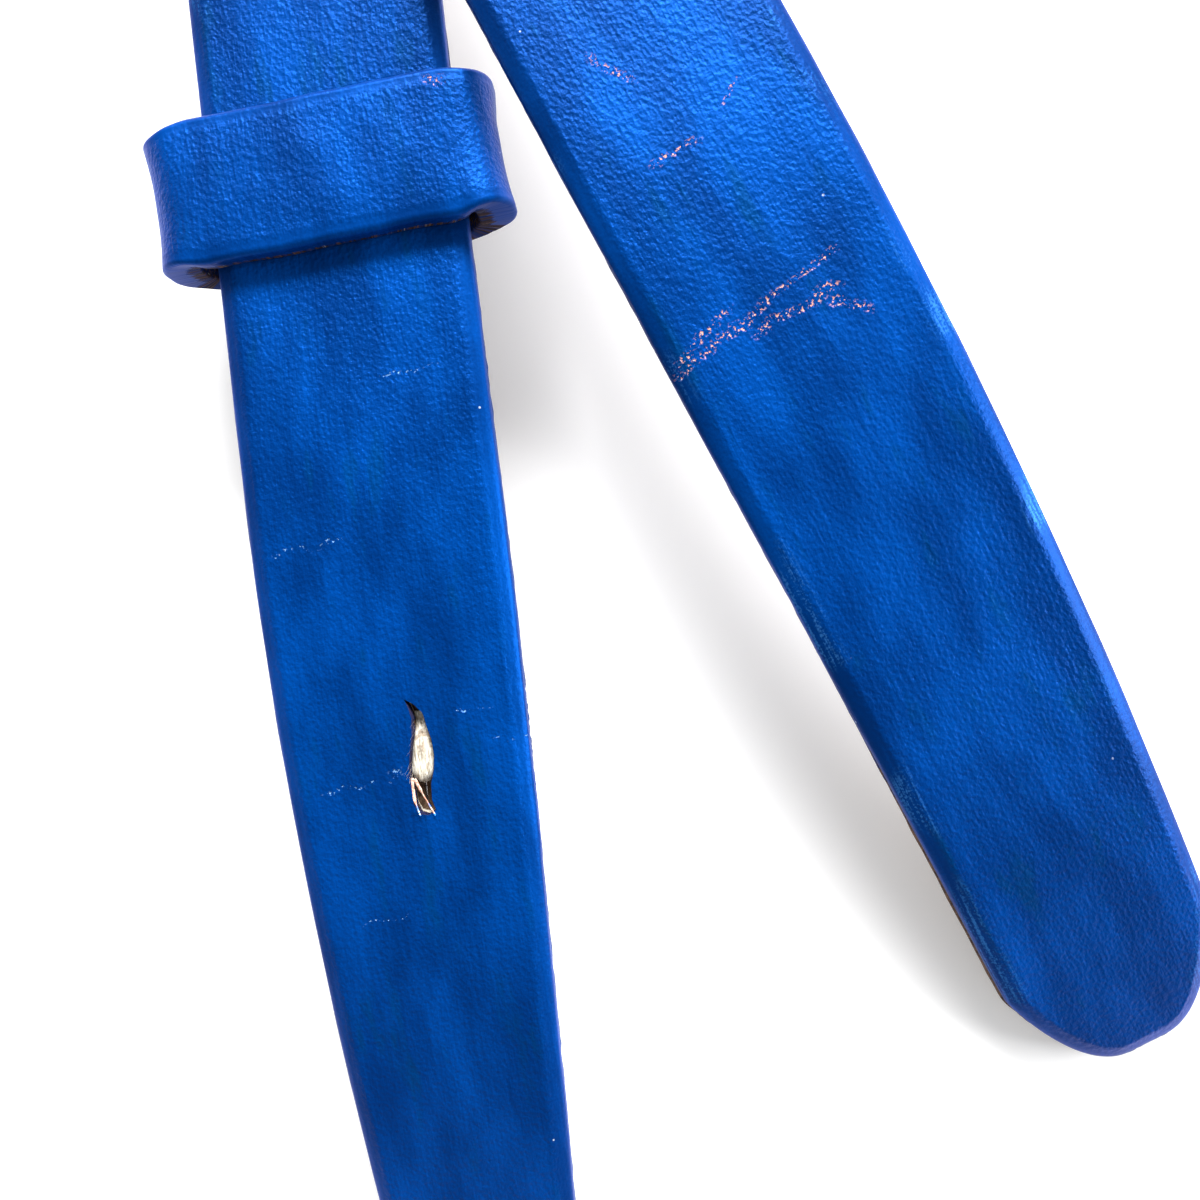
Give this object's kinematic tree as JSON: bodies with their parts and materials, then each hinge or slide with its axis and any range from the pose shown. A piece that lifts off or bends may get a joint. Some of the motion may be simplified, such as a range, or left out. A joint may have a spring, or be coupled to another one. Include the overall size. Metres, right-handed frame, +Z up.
{
  "type": "leather belt strap",
  "caption": "Painted leather waist belt strap without its buckle: slotted fold-back flap, sliding keeper loop, rounded tip, lying crossed with its middle on edge.",
  "frame": {"origin": "middle of the footprint, on the surface that the belt lies on", "axes": "+X across the slotted leg, +Y along it from the flap to the loop, +Z up"},
  "size_m": [0.1781, 0.5109, 0.0454],
  "materials": {
    "painted_leather": "satin blue paint over grained leather",
    "keeper_leather": "satin blue paint over grained leather",
    "torn_leather": "raw torn leather with flakes of blue paint",
    "backing_leather": "brown unpainted leather with a raw cut edge",
    "cream_fibre": "matted cream fibre",
    "staple_steel": "drawn steel wire"
  },
  "bodies": {
    "strap": {"strap_cover": "painted_leather", "strap_filler": "cream_fibre", "strap_backing": "backing_leather", "fibre_tuft": "cream_fibre"},
    "flap": {"flap_cover": "painted_leather", "flap_filler": "cream_fibre", "flap_backing": "backing_leather", "torn_shreds": "torn_leather"},
    "keeper": {"keeper_band": "keeper_leather", "keeper_staples": "staple_steel"}
  },
  "joints": [
    {"name": "flap_fold", "type": "hinge", "parent": "strap", "child": "flap", "pos_m": [-0.0278, -0.16324, 0.01487], "axis": [1, 0, 0], "range_deg": [0, 166]},
    {"name": "keeper_slide", "type": "slide", "parent": "strap", "child": "keeper", "axis": [0, 1, 0], "range_m": [-0.038, 0.03]}
  ]
}
